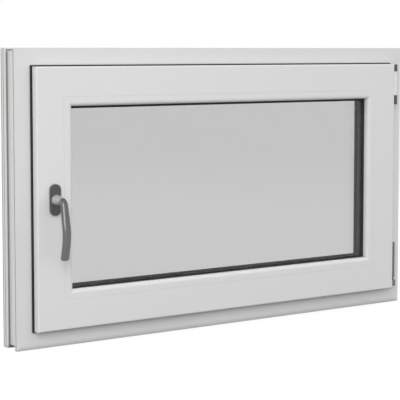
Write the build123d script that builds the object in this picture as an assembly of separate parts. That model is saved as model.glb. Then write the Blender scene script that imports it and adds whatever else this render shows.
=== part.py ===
from build123d import *
import os

# Outer size of the window, in millimetres
FRAME_WIDTH = 1000.0
FRAME_HEIGHT = 600.0

# Frame section, sizes across the face
FRAME_SHOW = 37.0
SASH_LAP = 8.0
REBATE_AIR = 12.0
STOP_COVER = 8.0

# Frame section, sizes through the wall
FRAME_DEPTH = 60.0
STOP_GAP = 5.0
STOP_SLOPE = 6.0
FRAME_EDGE_RADIUS = 1.5

# Channel and grooves round the outside of the frame
CHANNEL_DEPTH = 6.5
LIP_THICK = 6.5
LIP_FLARE = 3.0
FOOT_THICK = 18.5
FOOT_LAND = 5.6
FOOT_UNDERCUT = 4.0
FOOT_TOE = 2.5
GROOVE_INSET = 1.2
GROOVE_WIDTH = 3.2
GROOVE_DEPTH = 5.0

# Sash section
SASH_FACE = 60.0
SASH_DEPTH = 60.0
SASH_PROUD = 23.0
LAP_THICK = 18.5
SASH_EDGE_RADIUS = 3.0
GLAZING_LIP = 14.0
LIP_CHAMFER = 6.0
JOINT_RADIUS = 0.4

# Glazing bead
BEAD_WIDTH = 19.0
BEAD_ROUND = 8.0

# Double glazing and its seals
PANE_THICK = 4.0
CAVITY = 16.0
PANE_CLEARANCE = 4.0
SPACER_WIDTH = 7.0
SPACER_SHOW = 1.5
INNER_SEAL = 3.0
INNER_SEAL_SHOW = 4.5
OUTER_SEAL = 4.0
OUTER_SEAL_SHOW = 6.0
SEAL_BURY = 8.0
SEAL_RADIUS = 1.2

# Seals between sash and frame
LAP_SEAL_SHOW = 2.5
LAP_SEAL_BURY = 6.0
STOP_SEAL_SHOW = 1.5
STOP_SEAL_BURY = 5.0

# Handle
HANDLE_INSET = 38.0
HANDLE_HEIGHT = 300.0
ROSETTE_LENGTH = 62.0
ROSETTE_WIDTH = 22.0
ROSETTE_THICK = 8.0
ROSETTE_CHAMFER = 1.5
SPINDLE_RADIUS = 5.0
SPINDLE_LENGTH = 5.5
TURN_CLEARANCE = 0.05
NECK_GAP = 0.3
NECK_RADIUS = 10.8
NECK_REACH = 37.0
ELBOW_RADIUS = 12.0
ELBOW_WIDTH = 16.5
ELBOW_THICK = 15.0
BEND_DROP = 66.0
BEND_REACH = 52.0
BEND_RADIUS = 100.0
BEND_WIDTH = 17.5
LEVER_THICK = 13.0
LEVER_BEVEL = 4.0
LEVER_DROP = 115.5
LEVER_END_REACH = 40.5
LEVER_END_WIDTH = 18.5
LEVER_END_CHAMFER = 2.5

# Hinges
HINGE_OFFSET = 10.0
HINGE_STANDOFF = 12.0
HINGE_RADIUS = 6.0
HINGE_PIN_RADIUS = 2.5
HINGE_PIN_FLOOR = 1.0
HINGE_PLATE_THICK = 2.5
HINGE_PLATE_WIDTH = 12.0
HINGE_WEB_WIDTH = 9.0
HINGE_LEAF_THICK = 5.0
HINGE_CLEARANCE = 0.5
UPPER_HINGE_DROP = 1.0
UPPER_TOP_KNUCKLE = 16.0
UPPER_BARREL = 56.0
UPPER_BARREL_RADIUS = 5.2
UPPER_LOW_KNUCKLE = 21.0
LOWER_HINGE_RISE = 4.0
LOWER_BLOCK = 14.0
LOWER_NECK = 5.0
LOWER_BARREL = 84.0
LOWER_BARREL_RADIUS = 3.8
LOWER_PIN_RADIUS = 2.0

# Drain hoods on the weather side of the sill
HOOD_SPREAD = 520.0
HOOD_WIDTH = 40.0
HOOD_HEIGHT = 14.0
HOOD_THICK = 5.0
HOOD_RISE = 20.0
HOOD_CHAMFER = 2.0

# Length by which a cutting shape runs past what it cuts
OVERCUT = 1.0

# Distances from the outer edge of the frame, inward
rebate_u = FRAME_SHOW + SASH_LAP
body_u = rebate_u + REBATE_AIR
stop_u = body_u + STOP_COVER
glazing_u = FRAME_SHOW + SASH_FACE
sight_u = glazing_u + BEAD_WIDTH
pane_u = glazing_u + PANE_CLEARANCE

# Levels through the wall; y = 0 runs along the middle of the flat between the foot's two grooves
groove_far = GROOVE_INSET + GROOVE_WIDTH
weather_y = groove_far + FOOT_LAND / 2
foot_y = weather_y - FOOT_THICK
face_y = weather_y - FRAME_DEPTH
sash_y = face_y - SASH_PROUD
lap_y = sash_y + LAP_THICK
sash_back_y = sash_y + SASH_DEPTH
stop_y = sash_back_y + STOP_GAP
glazing_lip_y = sash_back_y - GLAZING_LIP
outer_pane_y = glazing_lip_y - OUTER_SEAL - PANE_THICK
spacer_y = outer_pane_y - CAVITY
inner_pane_y = spacer_y - PANE_THICK
bead_back_y = inner_pane_y - INNER_SEAL


def section(corners):
    """Closed section from (u, y, corner radius) triples."""
    points = [(u, y) for u, y, radius in corners]
    radii = [radius for u, y, radius in corners]
    return make_face(FilletPolyline(*points, radius=radii, close=True))


def mitred(shape, length):
    """Length of a section whose ends are cut at 45 degrees through the outer corners."""
    reach = shape.bounding_box().max.X + OVERCUT
    depth = FRAME_DEPTH + SASH_PROUD
    corners = [(0, 0), (reach, reach), (reach, length - reach), (0, length)]
    wedge = extrude(Plane.XZ * make_face(Polyline(*corners, close=True)), depth, both=True)
    return extrude(shape, length) & wedge


def four_sides(shape):
    """Left, right, bottom and top lengths of one section, meeting in mitres."""
    half = FRAME_WIDTH / 2
    left = Plane(origin=(-half, 0, 0), x_dir=(1, 0, 0), z_dir=(0, 0, 1))
    right = Plane(origin=(half, 0, FRAME_HEIGHT), x_dir=(-1, 0, 0), z_dir=(0, 0, -1))
    bottom = Plane(origin=(half, 0, 0), x_dir=(0, 0, 1), z_dir=(-1, 0, 0))
    top = Plane(origin=(-half, 0, FRAME_HEIGHT), x_dir=(0, 0, -1), z_dir=(1, 0, 0))
    upright = mitred(shape, FRAME_HEIGHT)
    level = mitred(shape, FRAME_WIDTH)
    return left * upright, right * upright, bottom * level, top * level


def ring(shape):
    """One section carried round all four sides as a single piece."""
    left, right, bottom, top = four_sides(shape)
    return left + right + bottom + top


def block(x0, x1, y0, y1, z0, z1):
    """Box between two corners."""
    middle = Pos((x0 + x1) / 2, (y0 + y1) / 2, (z0 + z1) / 2)
    return middle * Box(x1 - x0, y1 - y0, z1 - z0)


def post(x, y, radius, z0, z1):
    """Upright cylinder between two heights."""
    return Pos(x, y, (z0 + z1) / 2) * Cylinder(radius, z1 - z0)


parts = {}

# Frame: lip with a groove, channel, foot with two grooves, and the stop leg inside on the weather side
land_y = weather_y - groove_far - FOOT_LAND
frame_section = section([
    (0, face_y, GROOVE_INSET / 2),
    (0, face_y + GROOVE_INSET, 0),
    (GROOVE_DEPTH, face_y + GROOVE_INSET, 0),
    (GROOVE_DEPTH, face_y + groove_far, 0),
    (0, face_y + groove_far, 0),
    (0, face_y + LIP_THICK, 0),
    (CHANNEL_DEPTH, face_y + LIP_THICK + LIP_FLARE, 0),
    (CHANNEL_DEPTH, foot_y + FOOT_UNDERCUT, 0),
    (FOOT_TOE, foot_y + FOOT_UNDERCUT, 0),
    (FOOT_TOE, foot_y, 0),
    (0, foot_y, 0),
    (0, land_y - GROOVE_WIDTH, 0),
    (GROOVE_DEPTH, land_y - GROOVE_WIDTH, 0),
    (GROOVE_DEPTH, land_y, 0),
    (0, land_y, 0),
    (0, weather_y - groove_far, 0),
    (GROOVE_DEPTH, weather_y - groove_far, 0),
    (GROOVE_DEPTH, weather_y - GROOVE_INSET, 0),
    (0, weather_y - GROOVE_INSET, 0),
    (0, weather_y, GROOVE_INSET / 2),
    (stop_u - STOP_SLOPE, weather_y, FRAME_EDGE_RADIUS),
    (stop_u, weather_y - STOP_SLOPE, FRAME_EDGE_RADIUS),
    (stop_u, stop_y, 0),
    (rebate_u, stop_y, 0),
    (rebate_u, face_y, FRAME_EDGE_RADIUS),
])
frame_left, frame_right, frame_sill, frame_head = four_sides(frame_section)
parts["frame_left_jamb"] = frame_left
parts["frame_right_jamb"] = frame_right
parts["frame_sill"] = frame_sill
parts["frame_head"] = frame_head

# Sash: lap over the frame face, body in the rebate, glazing lip on the weather side
sash_section = section([
    (FRAME_SHOW, sash_y, SASH_EDGE_RADIUS),
    (FRAME_SHOW, lap_y, FRAME_EDGE_RADIUS),
    (body_u, lap_y, 0),
    (body_u, sash_back_y, FRAME_EDGE_RADIUS),
    (sight_u - LIP_CHAMFER, sash_back_y, FRAME_EDGE_RADIUS),
    (sight_u, sash_back_y - LIP_CHAMFER, FRAME_EDGE_RADIUS),
    (sight_u, glazing_lip_y, 0),
    (glazing_u, glazing_lip_y, 0),
    (glazing_u, sash_y, JOINT_RADIUS),
])
sash_left, sash_right, sash_bottom, sash_top = four_sides(sash_section)
parts["sash_left_stile"] = sash_left
parts["sash_right_stile"] = sash_right
parts["sash_bottom_rail"] = sash_bottom
parts["sash_top_rail"] = sash_top

# Glazing beads: flat face flush with the sash, then a round edge down to the glass
bead_section = section([
    (glazing_u, sash_y, JOINT_RADIUS),
    (glazing_u, bead_back_y, 0),
    (sight_u, bead_back_y, 0),
    (sight_u, sash_y, BEAD_ROUND),
])
bead_left, bead_right, bead_bottom, bead_top = four_sides(bead_section)
parts["bead_left"] = bead_left
parts["bead_right"] = bead_right
parts["bead_bottom"] = bead_bottom
parts["bead_top"] = bead_top

# Double glazing: two panes held apart by the spacer
pane_width = FRAME_WIDTH - 2 * pane_u
pane_height = FRAME_HEIGHT - 2 * pane_u
for pane_name, pane_y in (("inner_pane", inner_pane_y), ("outer_pane", outer_pane_y)):
    parts[pane_name] = block(
        -pane_width / 2, pane_width / 2, pane_y, pane_y + PANE_THICK,
        pane_u, pane_u + pane_height,
    )
spacer_u = sight_u + SPACER_SHOW
parts["spacer_bar"] = ring(section([
    (spacer_u - SPACER_WIDTH, spacer_y, 0),
    (spacer_u - SPACER_WIDTH, outer_pane_y, 0),
    (spacer_u, outer_pane_y, 0),
    (spacer_u, spacer_y, 0),
]))

# Glazing seals on both sides of the glass
parts["inner_glazing_seal"] = ring(section([
    (sight_u - SEAL_BURY, bead_back_y, 0),
    (sight_u - SEAL_BURY, inner_pane_y, 0),
    (sight_u + INNER_SEAL_SHOW, inner_pane_y, 0),
    (sight_u + INNER_SEAL_SHOW, bead_back_y, SEAL_RADIUS),
]))
outer_glass_y = outer_pane_y + PANE_THICK
parts["outer_glazing_seal"] = ring(section([
    (sight_u - SEAL_BURY, outer_glass_y, 0),
    (sight_u - SEAL_BURY, glazing_lip_y, 0),
    (sight_u + OUTER_SEAL_SHOW, glazing_lip_y, SEAL_RADIUS),
    (sight_u + OUTER_SEAL_SHOW, outer_glass_y, 0),
]))

# Seals between sash and frame, one on the room side and one on the stop
parts["lap_seal"] = ring(section([
    (FRAME_SHOW - LAP_SEAL_SHOW, lap_y, SEAL_RADIUS),
    (FRAME_SHOW - LAP_SEAL_SHOW, face_y, 0),
    (FRAME_SHOW + LAP_SEAL_BURY, face_y, 0),
    (FRAME_SHOW + LAP_SEAL_BURY, lap_y, 0),
]))
parts["stop_seal"] = ring(section([
    (stop_u - STOP_SEAL_BURY, sash_back_y, 0),
    (stop_u - STOP_SEAL_BURY, stop_y, 0),
    (stop_u + STOP_SEAL_SHOW, stop_y, SEAL_RADIUS),
    (stop_u + STOP_SEAL_SHOW, sash_back_y, 0),
]))

# Handle, drawn on the sash face with the room in front
handle_x = -FRAME_WIDTH / 2 + FRAME_SHOW + HANDLE_INSET
handle_plane = Plane(origin=(handle_x, sash_y, HANDLE_HEIGHT), x_dir=(1, 0, 0), z_dir=(0, -1, 0))
rosette = extrude(SlotOverall(ROSETTE_LENGTH, ROSETTE_WIDTH, rotation=90), ROSETTE_THICK)
rosette = chamfer(rosette.edges().group_by(Axis.Z)[-1], ROSETTE_CHAMFER)
bore_depth = SPINDLE_LENGTH + TURN_CLEARANCE
bore_middle = ROSETTE_THICK - bore_depth / 2
rosette -= Pos(0, 0, bore_middle) * Cylinder(SPINDLE_RADIUS + TURN_CLEARANCE, bore_depth)
parts["handle_rosette"] = handle_plane * rosette

# Lever: tapered neck straight out, elbow, short arm leaning outward, long bow, and a chamfered tip
neck_start = ROSETTE_THICK + NECK_GAP
lever_path = FilletPolyline(
    (0, 0, neck_start),
    (0, 0, NECK_REACH),
    (0, -BEND_DROP, BEND_REACH),
    (0, -LEVER_DROP, LEVER_END_REACH),
    radius=[ELBOW_RADIUS, BEND_RADIUS],
)
neck_line, elbow_arc, arm_line, bend_arc, tip_line = lever_path.edges()


def lever_section(curve, share, width, thick):
    """Lever section across a curve, part way along it: a round front and a bevelled back."""
    across = Plane(origin=curve @ share, x_dir=(1, 0, 0), z_dir=curve % share)
    flat = width / 2 - LEVER_BEVEL
    front = EllipticalCenterArc((0, 0), width / 2, thick / 2, arc_size=180)
    back = Polyline(front @ 1, (-flat, -thick / 2), (flat, -thick / 2), front @ 0)
    return across * make_face([front, back])


neck_foot = Pos(0, 0, neck_start) * Circle(NECK_RADIUS)
neck_end = Plane(neck_line @ 1) * Ellipse(ELBOW_WIDTH / 2, ELBOW_THICK / 2)
elbow_section = lever_section(elbow_arc, 0, ELBOW_WIDTH, ELBOW_THICK)
arm_start = lever_section(arm_line, 0, ELBOW_WIDTH, ELBOW_THICK)
bend_section = lever_section(bend_arc, 0, BEND_WIDTH, LEVER_THICK)
lever_end = lever_section(tip_line, 1, LEVER_END_WIDTH, LEVER_THICK)
lever = loft([neck_foot, neck_end])
lever += sweep(elbow_section, path=elbow_arc)
lever += loft([arm_start, bend_section])
lever += sweep(bend_section, path=bend_arc)
tip = loft([lever_section(tip_line, 0, BEND_WIDTH, LEVER_THICK), lever_end])
lever += chamfer(tip.faces().sort_by(Axis.Y)[0].edges(), LEVER_END_CHAMFER)
spindle_middle = neck_start - (SPINDLE_LENGTH + NECK_GAP) / 2
lever += Pos(0, 0, spindle_middle) * Cylinder(SPINDLE_RADIUS, SPINDLE_LENGTH + NECK_GAP)
parts["handle_lever"] = handle_plane * lever

# Upper hinge: two knuckles on the frame, one barrel on the sash, a pin through all
sash_edge_x = FRAME_WIDTH / 2 - FRAME_SHOW
hinge_x = sash_edge_x + HINGE_OFFSET
hinge_y = face_y - HINGE_STANDOFF
plate_front_y = face_y - HINGE_PLATE_THICK
plate_left = hinge_x - HINGE_PLATE_WIDTH / 2
plate_right = hinge_x + HINGE_PLATE_WIDTH / 2
web_left = hinge_x - HINGE_WEB_WIDTH / 2
web_right = hinge_x + HINGE_WEB_WIDTH / 2
leaf_front_y = hinge_y - HINGE_LEAF_THICK / 2
leaf_back_y = hinge_y + HINGE_LEAF_THICK / 2
pin_hole = HINGE_PIN_RADIUS + TURN_CLEARANCE
upper_top = FRAME_HEIGHT - FRAME_SHOW - UPPER_HINGE_DROP
barrel_top = upper_top - UPPER_TOP_KNUCKLE
barrel_low = barrel_top - UPPER_BARREL
upper_low = barrel_low - UPPER_LOW_KNUCKLE
upper_bearing = block(plate_left, plate_right, plate_front_y, face_y, upper_low, upper_top)
for low, high in ((barrel_top, upper_top), (upper_low, barrel_low)):
    upper_bearing += post(hinge_x, hinge_y, HINGE_RADIUS, low, high)
    upper_bearing += block(web_left, web_right, hinge_y, face_y, low, high)
upper_bearing -= post(hinge_x, hinge_y, pin_hole, upper_low - OVERCUT, upper_top + OVERCUT)
parts["upper_hinge_bearing"] = upper_bearing
barrel_top -= HINGE_CLEARANCE
barrel_low += HINGE_CLEARANCE
upper_barrel = post(hinge_x, hinge_y, UPPER_BARREL_RADIUS, barrel_low, barrel_top)
upper_barrel += block(sash_edge_x, hinge_x, leaf_front_y, leaf_back_y, barrel_low, barrel_top)
upper_barrel -= post(hinge_x, hinge_y, pin_hole, barrel_low - OVERCUT, barrel_top + OVERCUT)
parts["upper_hinge_barrel"] = upper_barrel
parts["upper_hinge_pin"] = post(hinge_x, hinge_y, HINGE_PIN_RADIUS, upper_low, upper_top)

# Lower hinge: block on the frame, slim barrel on the sash, a pin standing in the block
block_low = FRAME_SHOW + LOWER_HINGE_RISE
block_top = block_low + LOWER_BLOCK
lower_low = block_top + LOWER_NECK
lower_top = lower_low + LOWER_BARREL
pin_low = block_low + HINGE_PIN_FLOOR
lower_bearing = post(hinge_x, hinge_y, HINGE_RADIUS, block_low, block_top)
lower_bearing += block(web_left, web_right, hinge_y, face_y, block_low, block_top)
lower_bearing += block(plate_left, plate_right, plate_front_y, face_y, block_low, lower_top)
lower_pin_hole = LOWER_PIN_RADIUS + TURN_CLEARANCE
lower_bearing -= post(hinge_x, hinge_y, lower_pin_hole, pin_low, block_top + OVERCUT)
parts["lower_hinge_bearing"] = lower_bearing
lower_barrel = post(hinge_x, hinge_y, LOWER_BARREL_RADIUS, lower_low, lower_top)
lower_barrel += block(sash_edge_x, hinge_x, leaf_front_y, leaf_back_y, lower_low, lower_top)
pin_top = lower_low + LOWER_BARREL / 2
lower_barrel -= post(hinge_x, hinge_y, lower_pin_hole, lower_low - OVERCUT, pin_top)
parts["lower_hinge_barrel"] = lower_barrel
parts["lower_hinge_pin"] = post(hinge_x, hinge_y, LOWER_PIN_RADIUS, pin_low, pin_top)

# Drain hoods
for hood_name, side in (("drain_hood_left", -1), ("drain_hood_right", 1)):
    middle_x = side * HOOD_SPREAD / 2
    hood = block(
        middle_x - HOOD_WIDTH / 2, middle_x + HOOD_WIDTH / 2, weather_y, weather_y + HOOD_THICK,
        HOOD_RISE, HOOD_RISE + HOOD_HEIGHT,
    )
    parts[hood_name] = chamfer(hood.edges().group_by(Axis.Y)[-1], HOOD_CHAMFER)

os.makedirs("parts", exist_ok=True)
for name, solid in parts.items():
    export_step(solid, f"parts/{name}.step")
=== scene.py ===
import math

import bmesh
import bpy
from mathutils import Matrix, Vector


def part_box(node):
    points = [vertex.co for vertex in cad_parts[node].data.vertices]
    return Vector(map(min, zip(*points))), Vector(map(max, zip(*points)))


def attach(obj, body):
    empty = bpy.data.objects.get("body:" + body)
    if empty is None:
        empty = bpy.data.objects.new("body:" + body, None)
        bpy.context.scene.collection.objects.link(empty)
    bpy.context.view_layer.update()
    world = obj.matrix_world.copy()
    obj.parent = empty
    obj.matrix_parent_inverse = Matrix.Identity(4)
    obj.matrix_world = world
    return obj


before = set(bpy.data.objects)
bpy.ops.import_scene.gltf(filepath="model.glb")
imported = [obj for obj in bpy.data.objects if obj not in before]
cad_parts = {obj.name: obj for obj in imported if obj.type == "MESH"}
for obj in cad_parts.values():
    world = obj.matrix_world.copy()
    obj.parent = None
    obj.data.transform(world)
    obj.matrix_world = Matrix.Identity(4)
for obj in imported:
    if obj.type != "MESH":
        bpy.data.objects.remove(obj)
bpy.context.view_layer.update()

# Sizes are in metres, angles in degrees, colours in linear light and noise scales per metre.

# Camera
CAMERA_PLACE = (-1.653, -2.449, 0.594)
CAMERA_TURN = 33.53       # to the right of straight at the window
CAMERA_DIP = 4.29         # below the horizon
CAMERA_LENS = 121.6       # millimetres, on the sensor below
CAMERA_SENSOR = 36.0
CAMERA_SHIFT = -0.12      # the photograph has upright verticals and a high horizon
CAMERA_REACH = 100.0      # the farthest that it sees

# Colours
WHITE = (1.0, 1.0, 1.0, 1.0)
# The frame's white is a little darker than the sash's, though both are the same PVC: painted shade for the
# frame, set back behind the proud sash.
FRAME_WHITE = (0.72, 0.72, 0.715)
SASH_WHITE = (0.755, 0.755, 0.75)
BARREL_WHITE = (0.84, 0.84, 0.84)
GLASS_TINT = (0.725, 0.725, 0.725)
SPACER_GREY = (0.07, 0.07, 0.07)
SEAL_BLACK = (0.022, 0.022, 0.022)
ROSETTE_GREY = (0.066, 0.066, 0.066)
LEVER_METAL = (0.16, 0.16, 0.16)
NECK_GREY = (0.47, 0.47, 0.47)
HINGE_GREY = (0.075, 0.075, 0.075)
BARREL_GREY = (0.15, 0.15, 0.15)
BLOCK_GREY = (0.30, 0.30, 0.30)
PIN_STEEL = (0.20, 0.20, 0.20)
SCREW_DARK = (0.03, 0.03, 0.03)
FLOOR_COLOUR = (0.18, 0.18, 0.18)

# Surfaces
NOISE_LOW = 0.3           # most of a noise lies between these two
NOISE_HIGH = 0.7
PVC_IOR = 1.53
PVC_DRAW_LINES = 900.0
PVC_DRAW_STRETCH = 0.01   # share of the scale that is left along the profile
PVC_CLOUDS = 7.0
PAINTED_SHADE_REACH = 0.005      # walls nearer than this darken a surface with painted shade
SILL_REACH = 0.018        # the same for the sill, which the sash overhangs, so that painted shade darkens it under the sash
PAINTED_GROOVE_SHADE = 0.20       # share of the white that the painted shade leaves deep in a groove
PAINTED_SHADE_SAMPLES = 8
PAINTED_SHADE_FULL = 0.2        # open share of the directions at which the shade is full
PAINTED_SHADE_NONE = 0.8        # and at which there is none
MOULDED_CLOUDS = 60.0
MOULDED_GLOSS_SPREAD = 0.04
DARK_SPECKS = 0.90        # share of the colour that the specks of a grain keep
PALE_SPECKS = 0.97
WHITE_GRAIN = 3500.0
HINGE_GRAIN = 1500.0
ROSETTE_GRAIN = 1800.0
SCREW_GRAIN = 3000.0
HINGE_ROUGHNESS = 0.38
METAL_LINES = 2600.0
METAL_STRETCH = 0.03
METAL_GLOSS_SPREAD = 0.03
NECK_END = 0.031          # where the handle's light neck ends, from the sash
NECK_FADE = 0.006         # length over which it turns into the arm's metal
NECK_GRAIN = 1200.0
NECK_METALLIC = 0.1
SEAL_RIPPLE = 240.0
PERFORATION_PITCH = 0.0035
PERFORATION_SIZE = 0.0010
PERFORATION_EDGE = 0.7    # share of a hole's radius where its edge begins
PERFORATION_SHADE = 0.35  # share of the colour that is left in a hole, as painted shade
GLASS_IOR = 1.45
GLASS_WAVE = 5.0
GLASS_STRETCH = (1, 1, 0.2)

# Screws on the lower hinge
BLOCK_HEIGHT = 0.014      # of the lower hinge's block
SCREW_RADIUS = 0.0027
SCREW_RISE = 0.0009
SCREW_RIM_LEVEL = 0.4     # levels are shares of the rise
SCREW_SHOULDER = 0.8      # share of the radius
SCREW_SHOULDER_LEVEL = 0.85
SCREW_SOCKET = 0.0013     # radius of the round recess
SCREW_SOCKET_LEVEL = 0.2  # of the recess's floor
SCREW_SIDES = 24
SCREW_PLACES = {"block_screw_low": 0.27, "block_screw_high": 0.73}    # shares of the block's height

# Room
WORLD_SIDE = 1.34         # the soft room's light from the horizon
WORLD_TOP = 0.60          # and from straight above
FLOOR_HALF = 12.0
FLOOR_GRAIN = 90.0
FLOOR_GLOW = 0.86         # lifts the floor to the white of the photograph
LAMP_AIM = (0, 0, 0.3)


def new_material(name):
    """A node material with its Principled shader."""
    material = bpy.data.materials.new(name)
    material.use_nodes = True
    tree = material.node_tree
    return material, tree, tree.nodes["Principled BSDF"]


def add(tree, kind, **settings):
    """A node with the given properties; a setting named after a socket goes on that input."""
    node = tree.nodes.new(kind)
    for key, value in settings.items():
        if hasattr(node, key):
            setattr(node, key, value)
        else:
            node.inputs[key.replace("_", " ")].default_value = value
    return node


def stretched(tree, scale=(1, 1, 1)):
    """Object coordinates scaled along each axis, so that a noise runs along a length."""
    place = add(tree, "ShaderNodeTexCoord")
    mapping = add(tree, "ShaderNodeMapping", Scale=scale)
    tree.links.new(place.outputs["Object"], mapping.inputs["Vector"])
    return mapping.outputs["Vector"]


def lengthwise(along, share):
    """A scale that draws a noise out along one axis to the given share."""
    scale = [1.0, 1.0, 1.0]
    scale["xyz".index(along)] = share
    return scale


def noise(tree, vector, scale, detail=3.0):
    """The grey value of a noise over the given coordinates."""
    node = add(tree, "ShaderNodeTexNoise", Scale=scale, Detail=detail)
    tree.links.new(vector, node.inputs["Vector"])
    return node.outputs["Fac"]


def spread(tree, value, low, high):
    """The middle of a noise spread between two numbers."""
    node = add(tree, "ShaderNodeMapRange", From_Min=NOISE_LOW, From_Max=NOISE_HIGH, To_Min=low, To_Max=high)
    tree.links.new(value, node.inputs["Value"])
    return node.outputs["Result"]


def shaded(tree, colour, value):
    """A colour times a grey value."""
    node = add(tree, "ShaderNodeMix", data_type="RGBA", blend_type="MULTIPLY")
    node.inputs["Factor"].default_value = 1.0
    node.inputs["A"].default_value = (*colour, 1.0)
    tree.links.new(value, node.inputs["B"])
    return node.outputs["Result"]


def bump(tree, shader, height, strength, distance):
    """A bump on the shader's normal from a height."""
    node = add(tree, "ShaderNodeBump", Strength=strength, Distance=distance)
    tree.links.new(height, node.inputs["Height"])
    tree.links.new(node.outputs["Normal"], shader.inputs["Normal"])


def with_painted_shade(tree, value, reach):
    """A grey value with painted shade, darker in narrow grooves and where walls stand near."""
    # painted shade: ambient occlusion darkens the colour where walls stand near
    occlusion = add(tree, "ShaderNodeAmbientOcclusion", samples=PAINTED_SHADE_SAMPLES, Distance=reach)
    shade_factor = add(tree, "ShaderNodeMapRange", From_Min=PAINTED_SHADE_FULL, From_Max=PAINTED_SHADE_NONE, To_Min=PAINTED_GROOVE_SHADE)
    tree.links.new(occlusion.outputs["AO"], shade_factor.inputs["Value"])
    product = add(tree, "ShaderNodeMath", operation="MULTIPLY")
    tree.links.new(value, product.inputs[0])
    tree.links.new(shade_factor.outputs["Result"], product.inputs[1])
    return product.outputs["Value"]


def extruded_pvc(name, colour, along, reach=PAINTED_SHADE_REACH):
    """Satin white PVC with faint draw lines along the profile, a slightly uneven gloss and painted shade in
    its grooves and corners.
    """
    material, tree, shader = new_material(name)
    lines = noise(tree, stretched(tree, lengthwise(along, PVC_DRAW_STRETCH)), PVC_DRAW_LINES)
    clouds = noise(tree, stretched(tree), PVC_CLOUDS)
    # painted shade: the white darkens where walls stand near, in grooves and corners
    tone = with_painted_shade(tree, spread(tree, clouds, low=0.985, high=1.0), reach)
    tree.links.new(shaded(tree, colour, tone), shader.inputs["Base Color"])
    tree.links.new(spread(tree, clouds, low=0.30, high=0.37), shader.inputs["Roughness"])
    shader.inputs["IOR"].default_value = PVC_IOR
    bump(tree, shader, lines, strength=0.10, distance=0.0002)
    return material


def moulded(name, colour, roughness, grain, low=DARK_SPECKS):
    """A cast or moulded surface with a fine even grain, whose specks darken to the low share."""
    material, tree, shader = new_material(name)
    specks = noise(tree, stretched(tree), grain, detail=2.0)
    clouds = noise(tree, stretched(tree), MOULDED_CLOUDS)
    gloss = spread(tree, clouds, roughness - MOULDED_GLOSS_SPREAD, roughness + MOULDED_GLOSS_SPREAD)
    tree.links.new(shaded(tree, colour, spread(tree, specks, low, high=1.0)), shader.inputs["Base Color"])
    tree.links.new(gloss, shader.inputs["Roughness"])
    bump(tree, shader, specks, strength=0.12, distance=0.0002)
    return material


def brushed_metal(name, colour, roughness, along):
    """Satin metal with fine brush lines along one axis."""
    material, tree, shader = new_material(name)
    lines = noise(tree, stretched(tree, lengthwise(along, METAL_STRETCH)), METAL_LINES)
    gloss = spread(tree, lines, roughness - METAL_GLOSS_SPREAD, roughness + METAL_GLOSS_SPREAD)
    tree.links.new(shaded(tree, colour, spread(tree, lines, low=0.92, high=1.0)), shader.inputs["Base Color"])
    tree.links.new(gloss, shader.inputs["Roughness"])
    shader.inputs["Metallic"].default_value = 1.0
    bump(tree, shader, lines, strength=0.06, distance=0.0002)
    return material


def handle_metal(name, neck_colour, arm_colour):
    """Satin metal with brush lines down the arm and a lighter, dull neck by the sash."""
    material = brushed_metal(name, arm_colour, roughness=0.31, along="z")
    tree = material.node_tree
    shader = tree.nodes["Principled BSDF"]
    arm = shader.inputs["Base Color"].links[0].from_socket
    place = add(tree, "ShaderNodeTexCoord")
    axes = add(tree, "ShaderNodeSeparateXYZ")
    tree.links.new(place.outputs["Object"], axes.inputs["Vector"])
    sash_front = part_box("sash_left_stile")[0][1]
    neck_end = sash_front - NECK_END
    neck = add(tree, "ShaderNodeMapRange", From_Min=neck_end - NECK_FADE, From_Max=neck_end)
    tree.links.new(axes.outputs["Y"], neck.inputs["Value"])
    grain = noise(tree, stretched(tree), NECK_GRAIN, detail=2.0)
    mix = add(tree, "ShaderNodeMix", data_type="RGBA")
    tree.links.new(neck.outputs["Result"], mix.inputs["Factor"])
    tree.links.new(arm, mix.inputs["A"])
    tree.links.new(shaded(tree, neck_colour, spread(tree, grain, low=0.85, high=1.0)), mix.inputs["B"])
    tree.links.new(mix.outputs["Result"], shader.inputs["Base Color"])
    metal = add(tree, "ShaderNodeMapRange", To_Min=1.0, To_Max=NECK_METALLIC)
    tree.links.new(neck.outputs["Result"], metal.inputs["Value"])
    tree.links.new(metal.outputs["Result"], shader.inputs["Metallic"])
    return material


def rubber(name, colour):
    """Matt black rubber with the faint ripple of an extruded seal."""
    material, tree, shader = new_material(name)
    ripple = noise(tree, stretched(tree), SEAL_RIPPLE)
    tone = shaded(tree, colour, spread(tree, ripple, low=0.75, high=1.0))
    tree.links.new(tone, shader.inputs["Base Color"])
    tree.links.new(spread(tree, ripple, low=0.55, high=0.67), shader.inputs["Roughness"])
    shader.inputs["Specular IOR Level"].default_value = 0.25
    bump(tree, shader, ripple, strength=0.15, distance=0.0004)
    return material


def perforated_spacer(name, colour):
    """Matt grey spacer bar with the rows of tiny breathing holes that face the cavity, painted as darker
    spots: painted shade in the holes.
    """
    material, tree, shader = new_material(name)
    holes = add(tree, "ShaderNodeTexVoronoi", Randomness=0.0, Scale=1.0 / PERFORATION_PITCH)
    place = add(tree, "ShaderNodeTexCoord")
    tree.links.new(place.outputs["Object"], holes.inputs["Vector"])
    rim = PERFORATION_SIZE / PERFORATION_PITCH / 2
    edge_start = rim * PERFORATION_EDGE
    # painted shade: each hole is darkened inside its edge
    edge = add(tree, "ShaderNodeMapRange", From_Min=edge_start, From_Max=rim, To_Min=PERFORATION_SHADE)
    tree.links.new(holes.outputs["Distance"], edge.inputs["Value"])
    tree.links.new(shaded(tree, colour, edge.outputs["Result"]), shader.inputs["Base Color"])
    shader.inputs["Roughness"].default_value = 0.8
    shader.inputs["Specular IOR Level"].default_value = 0.1
    bump(tree, shader, edge.outputs["Result"], strength=0.4, distance=0.0003)
    return material


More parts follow.
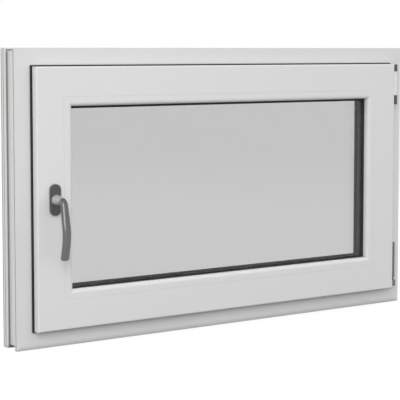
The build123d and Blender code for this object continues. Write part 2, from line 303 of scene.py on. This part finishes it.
def window_glass(name, tint):
    """Tinted float glass with a faint roller wave, which lets the lamps through."""
    material, tree, shader = new_material(name)
    wave = noise(tree, stretched(tree, GLASS_STRETCH), GLASS_WAVE, detail=1.0)
    shader.inputs["Base Color"].default_value = (*tint, 1.0)
    shader.inputs["Roughness"].default_value = 0.0
    shader.inputs["IOR"].default_value = GLASS_IOR
    shader.inputs["Transmission Weight"].default_value = 1.0
    bump(tree, shader, wave, strength=0.02, distance=0.002)
    clear = add(tree, "ShaderNodeBsdfTransparent", Color=(*tint, 1.0))
    path = add(tree, "ShaderNodeLightPath")
    mix = add(tree, "ShaderNodeMixShader")
    tree.links.new(path.outputs["Is Shadow Ray"], mix.inputs["Fac"])
    tree.links.new(shader.outputs["BSDF"], mix.inputs[1])
    tree.links.new(clear.outputs["BSDF"], mix.inputs[2])
    tree.links.new(mix.outputs["Shader"], tree.nodes["Material Output"].inputs["Surface"])
    return material


def dress(material, *names):
    """Gives CAD nodes their material."""
    for name in names:
        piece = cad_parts[name]
        piece.data.materials.clear()
        piece.data.materials.append(material)


def make_screw(name, place, material):
    """A low domed screw head with a round recess, facing the room."""
    # Each ring's radius and level, from the seat over the dome into the recess
    rings = [(SCREW_RADIUS, 0.0), (SCREW_RADIUS, SCREW_RIM_LEVEL)]
    rings += [(SCREW_SHOULDER * SCREW_RADIUS, SCREW_SHOULDER_LEVEL)]
    rings += [(SCREW_SOCKET, 1.0), (SCREW_SOCKET, SCREW_SOCKET_LEVEL)]
    shape = bmesh.new()
    loops = []
    for radius, level in rings:
        loop = []
        for step in range(SCREW_SIDES):
            turn = 2 * math.pi * step / SCREW_SIDES
            x = radius * math.cos(turn)
            z = radius * math.sin(turn)
            loop.append(shape.verts.new((x, -level * SCREW_RISE, z)))
        loops.append(loop)
    for outer, inner in zip(loops, loops[1:]):
        for step in range(SCREW_SIDES):
            after = (step + 1) % SCREW_SIDES
            shape.faces.new((outer[step], outer[after], inner[after], inner[step]))
    shape.faces.new(loops[-1])
    shape.faces.new(list(reversed(loops[0])))
    bmesh.ops.recalc_face_normals(shape, faces=shape.faces)
    mesh = bpy.data.meshes.new(name)
    shape.transform(Matrix.Translation(place))
    shape.to_mesh(mesh)
    shape.free()
    mesh.materials.append(material)
    screw = bpy.data.objects.new(name, mesh)
    bpy.context.scene.collection.objects.link(screw)
    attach(screw, "window")


def make_block_screws():
    """The two screws that adjust the lower hinge, one over the other on its block."""
    low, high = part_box("lower_hinge_bearing")
    material = moulded("screw_dark", SCREW_DARK, roughness=0.45, grain=SCREW_GRAIN)
    middle = (low[0] + high[0]) / 2
    for name, share in SCREW_PLACES.items():
        height = low[2] + share * BLOCK_HEIGHT
        make_screw(name, (middle, low[1] + SCREW_RISE / 2, height), material)


def seen_directly(tree):
    """1 for the rays that look at the background: camera, mirror and glass."""
    path = add(tree, "ShaderNodeLightPath")
    mirrored = add(tree, "ShaderNodeMath", operation="MAXIMUM")
    tree.links.new(path.outputs["Is Camera Ray"], mirrored.inputs[0])
    tree.links.new(path.outputs["Is Glossy Ray"], mirrored.inputs[1])
    either = add(tree, "ShaderNodeMath", operation="MAXIMUM")
    tree.links.new(mirrored.outputs["Value"], either.inputs[0])
    tree.links.new(path.outputs["Is Transmission Ray"], either.inputs[1])
    return either.outputs["Value"]


def make_world():
    """A soft room for the light, dimmer overhead, and white where it is looked at."""
    world = bpy.data.worlds.new("studio")
    world.use_nodes = True
    bpy.context.scene.world = world
    tree = world.node_tree
    background = tree.nodes["Background"]
    direction = add(tree, "ShaderNodeTexCoord")
    axes = add(tree, "ShaderNodeSeparateXYZ")
    tree.links.new(direction.outputs["Generated"], axes.inputs["Vector"])
    light = add(tree, "ShaderNodeMapRange", To_Min=WORLD_SIDE, To_Max=WORLD_TOP)
    tree.links.new(axes.outputs["Z"], light.inputs["Value"])
    level = add(tree, "ShaderNodeMix", data_type="FLOAT")
    tree.links.new(seen_directly(tree), level.inputs["Factor"])
    tree.links.new(light.outputs["Result"], level.inputs["A"])
    level.inputs["B"].default_value = 1.0
    background.inputs["Color"].default_value = WHITE
    tree.links.new(level.outputs["Result"], background.inputs["Strength"])


def make_floor():
    """A pale floor that keeps the shadow of the window."""
    mesh = bpy.data.meshes.new("floor")
    half = FLOOR_HALF
    corners = [(-half, -half, 0), (half, -half, 0), (half, half, 0), (-half, half, 0)]
    mesh.from_pydata(corners, [], [(0, 1, 2, 3)])
    floor = bpy.data.objects.new("floor", mesh)
    bpy.context.scene.collection.objects.link(floor)
    material, tree, shader = new_material("floor_paper")
    grain = noise(tree, stretched(tree), FLOOR_GRAIN)
    tone = shaded(tree, FLOOR_COLOUR, spread(tree, grain, low=0.99, high=1.0))
    tree.links.new(tone, shader.inputs["Base Color"])
    shader.inputs["Roughness"].default_value = 0.9
    shader.inputs["Specular IOR Level"].default_value = 0.0
    shader.inputs["Emission Color"].default_value = WHITE
    glow = add(tree, "ShaderNodeMapRange", To_Max=FLOOR_GLOW)
    tree.links.new(seen_directly(tree), glow.inputs["Value"])
    tree.links.new(glow.outputs["Result"], shader.inputs["Emission Strength"])
    mesh.materials.append(material)


def area_lamp(name, place, width, height, watts, beam=180):
    """A softbox that faces the window, with the angle its beam spreads over."""
    data = bpy.data.lights.new(name, "AREA")
    data.shape = "RECTANGLE"
    data.size = width
    data.size_y = height
    data.energy = watts
    data.spread = math.radians(beam)
    lamp = bpy.data.objects.new(name, data)
    bpy.context.scene.collection.objects.link(lamp)
    lamp.location = place
    lamp.rotation_euler = (Vector(LAMP_AIM) - Vector(place)).to_track_quat("-Z", "Y").to_euler()


def make_camera():
    """The photograph's view: from the left, level with the head of the frame."""
    data = bpy.data.cameras.new("camera")
    data.lens = CAMERA_LENS
    data.sensor_width = CAMERA_SENSOR
    data.shift_y = CAMERA_SHIFT
    data.clip_end = CAMERA_REACH
    camera = bpy.data.objects.new("camera", data)
    bpy.context.scene.collection.objects.link(camera)
    camera.location = CAMERA_PLACE
    camera.rotation_euler = (math.radians(90 - CAMERA_DIP), 0, math.radians(-CAMERA_TURN))
    bpy.context.scene.camera = camera


# Materials
frame_upright = extruded_pvc("frame_pvc_upright", FRAME_WHITE, "z")
frame_level = extruded_pvc("frame_pvc_level", FRAME_WHITE, "x")
# The sill's painted shade reaches further, under the overhanging sash.
sill_pvc = extruded_pvc("sill_pvc", FRAME_WHITE, "x", reach=SILL_REACH)
sash_upright = extruded_pvc("sash_pvc_upright", SASH_WHITE, "z")
sash_level = extruded_pvc("sash_pvc_level", SASH_WHITE, "x")
glass = window_glass("clear_glass", GLASS_TINT)
spacer = perforated_spacer("spacer", SPACER_GREY)
seal = rubber("black_seal", SEAL_BLACK)
rosette_grey = moulded("rosette_grey", ROSETTE_GREY, roughness=0.34, grain=ROSETTE_GRAIN)
satin_metal = handle_metal("satin_metal", NECK_GREY, LEVER_METAL)
hinge_grey = moulded("hinge_grey", HINGE_GREY, HINGE_ROUGHNESS, HINGE_GRAIN)
barrel_grey = moulded("barrel_grey", BARREL_GREY, HINGE_ROUGHNESS, HINGE_GRAIN)
block_grey = moulded("block_grey", BLOCK_GREY, HINGE_ROUGHNESS, HINGE_GRAIN)
hinge_white = moulded("hinge_white", BARREL_WHITE, roughness=0.25, grain=WHITE_GRAIN, low=PALE_SPECKS)
pin_steel = brushed_metal("pin_steel", PIN_STEEL, roughness=0.25, along="z")
hood_white = moulded("hood_white", FRAME_WHITE, roughness=0.32, grain=WHITE_GRAIN, low=PALE_SPECKS)

# The window
dress(frame_upright, "frame_left_jamb", "frame_right_jamb")
dress(frame_level, "frame_head")
dress(sill_pvc, "frame_sill")
dress(sash_upright, "sash_left_stile", "sash_right_stile", "bead_left", "bead_right")
dress(sash_level, "sash_bottom_rail", "sash_top_rail", "bead_bottom", "bead_top")
dress(glass, "inner_pane", "outer_pane")
dress(spacer, "spacer_bar")
dress(seal, "inner_glazing_seal", "outer_glazing_seal", "lap_seal", "stop_seal")
dress(rosette_grey, "handle_rosette")
dress(satin_metal, "handle_lever")
dress(hinge_grey, "upper_hinge_bearing")
dress(barrel_grey, "lower_hinge_barrel")
dress(block_grey, "lower_hinge_bearing")
dress(hinge_white, "upper_hinge_barrel")
dress(pin_steel, "upper_hinge_pin", "lower_hinge_pin")
dress(hood_white, "drain_hood_left", "drain_hood_right")
make_block_screws()

# The studio
make_world()
make_floor()
area_lamp("key", place=(-2.3, -3.2, 2.1), width=1.4, height=2.6, watts=64.0)
area_lamp("side", place=(-3.8, 1.2, 1.8), width=1.2, height=1.2, watts=10.0)
area_lamp("back", place=(1.6, 5.0, 3.2), width=3.0, height=2.4, watts=24.0, beam=60)
make_camera()

bpy.context.scene.view_settings.view_transform = "Standard"
